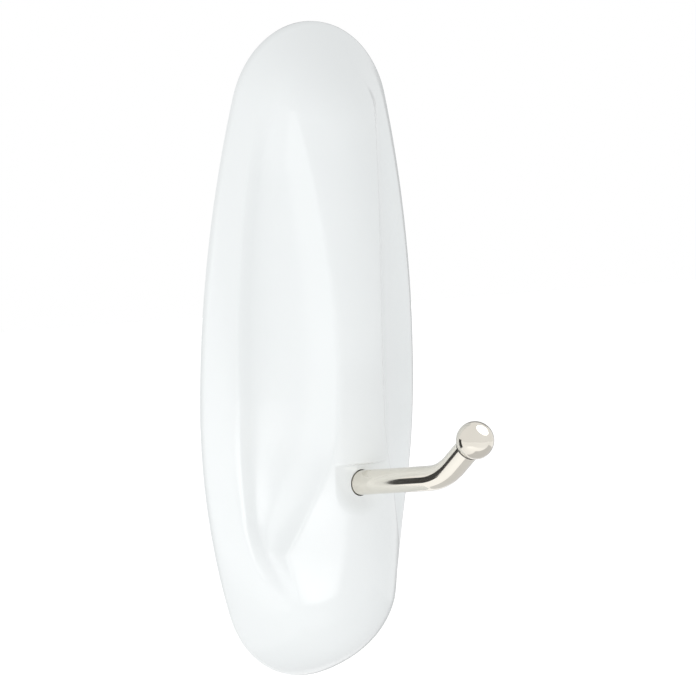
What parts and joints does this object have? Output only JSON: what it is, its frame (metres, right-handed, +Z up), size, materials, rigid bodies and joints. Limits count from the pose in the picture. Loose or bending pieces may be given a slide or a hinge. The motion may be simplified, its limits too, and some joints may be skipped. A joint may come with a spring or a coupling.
{
  "type": "adhesive wall hook",
  "caption": "Oblong wall hook: a sculpted white cover with side finger scoops and an upturned, ball-tipped metal peg, hung on a base plate that an adhesive strip holds to the wall.",
  "frame": {"origin": "on the wall, on the strip's wall-side face, at the middle of the cover's width and height", "axes": "+Z up along the cover, +Y into the wall, +X to the right as seen from the front"},
  "size_m": [0.0332, 0.0344, 0.08],
  "materials": {
    "cover_plastic": "glossy moulded white plastic, slightly cool",
    "peg_metal": "bright warm nickel plate",
    "base_plastic": "satin moulded white plastic",
    "strip_foam": "matt white foam",
    "strip_adhesive": "tacky, pale",
    "tab_film": "smooth non-stick film"
  },
  "bodies": {
    "wall_base": {"base_plate": "base_plastic", "foam_core": "strip_foam", "base_adhesive": "strip_adhesive", "wall_adhesive": "strip_adhesive", "tab_front_film": "tab_film", "tab_back_film": "tab_film"},
    "cover": {"front_shell": "cover_plastic", "hook_rod": "peg_metal", "hook_ball": "peg_metal", "rod_retainer": "base_plastic"}
  },
  "joints": [
    {"name": "shell_lift", "type": "slide", "parent": "wall_base", "child": "cover", "axis": [0, 0, 1], "range_m": [0, 0.005]}
  ]
}
